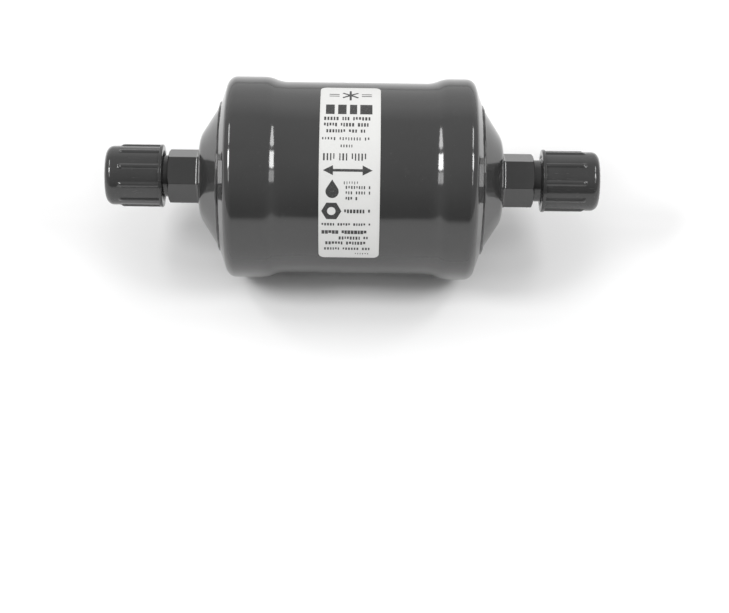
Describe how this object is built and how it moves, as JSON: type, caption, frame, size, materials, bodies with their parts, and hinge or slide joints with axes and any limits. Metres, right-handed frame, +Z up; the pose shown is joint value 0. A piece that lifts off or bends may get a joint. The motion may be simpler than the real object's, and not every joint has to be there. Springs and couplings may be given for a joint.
{
  "type": "filter drier",
  "caption": "Closed steel filter drier with a narrower waist, coned ends, male flare fittings under ribbed seal caps, check valves and a desiccant core inside.",
  "frame": {"origin": "on the line's axis, at the middle of the shell between its two end hubs", "axes": "+X along the line, to the right as the label is seen; +Z up; -Y the front, where the label faces"},
  "size_m": [0.1636, 0.0666, 0.0666],
  "materials": {
    "enamel": "gloss",
    "fitting_enamel": "gloss",
    "cap_plastic": "satin",
    "label_film": "satin",
    "desiccant": "matte",
    "felt": "matte",
    "wire_mesh": "satin",
    "plain_steel": "satin",
    "spring_steel": "satin",
    "valve_steel": "polished",
    "poppet_brass": "satin"
  },
  "bodies": {
    "drier_body": {"shell_tube": "enamel", "label": "label_film", "desiccant_core": "desiccant", "core_spring": "spring_steel", "end_cone_left": "enamel", "flare_fitting_left": "fitting_enamel", "core_pad_left": "felt", "screen_left": "wire_mesh", "core_cup_left": "plain_steel", "valve_plate_left": "plain_steel", "poppet_cage_left": "plain_steel", "inlet_spring_left": "spring_steel", "outlet_spring_left": "spring_steel", "end_cone_right": "enamel", "flare_fitting_right": "fitting_enamel", "core_pad_right": "felt", "screen_right": "wire_mesh", "core_cup_right": "plain_steel", "valve_plate_right": "plain_steel", "poppet_cage_right": "plain_steel", "inlet_spring_right": "spring_steel", "outlet_spring_right": "spring_steel"},
    "seal_cap_left": {"seal_cap_left": "cap_plastic"},
    "seal_cap_right": {"seal_cap_right": "cap_plastic"},
    "inlet_valve_left": {"inlet_valve_left": "valve_steel"},
    "outlet_poppet_left": {"outlet_poppet_left": "poppet_brass"},
    "inlet_valve_right": {"inlet_valve_right": "valve_steel"},
    "outlet_poppet_right": {"outlet_poppet_right": "poppet_brass"}
  },
  "joints": [
    {"name": "cap_unscrews_left", "type": "slide", "parent": "drier_body", "child": "seal_cap_left", "axis": [-1, 0, 0], "range_m": [0, 0.022]},
    {"name": "cap_unscrews_right", "type": "slide", "parent": "drier_body", "child": "seal_cap_right", "axis": [1, 0, 0], "range_m": [0, 0.022]},
    {"name": "inlet_valve_opens_left", "type": "slide", "parent": "drier_body", "child": "inlet_valve_left", "axis": [1, 0, 0], "range_m": [0, 0.0015], "stiffness_N_per_m": 25, "springref_m": -0.002, "deforming": ["inlet_spring_left"]},
    {"name": "outlet_poppet_opens_left", "type": "slide", "parent": "drier_body", "child": "outlet_poppet_left", "axis": [-1, 0, 0], "range_m": [0, 0.003], "stiffness_N_per_m": 40, "springref_m": -0.003, "deforming": ["outlet_spring_left"]},
    {"name": "inlet_valve_opens_right", "type": "slide", "parent": "drier_body", "child": "inlet_valve_right", "axis": [-1, 0, 0], "range_m": [0, 0.0015], "stiffness_N_per_m": 25, "springref_m": -0.002, "deforming": ["inlet_spring_right"]},
    {"name": "outlet_poppet_opens_right", "type": "slide", "parent": "drier_body", "child": "outlet_poppet_right", "axis": [1, 0, 0], "range_m": [0, 0.003], "stiffness_N_per_m": 40, "springref_m": -0.003, "deforming": ["outlet_spring_right"]}
  ]
}
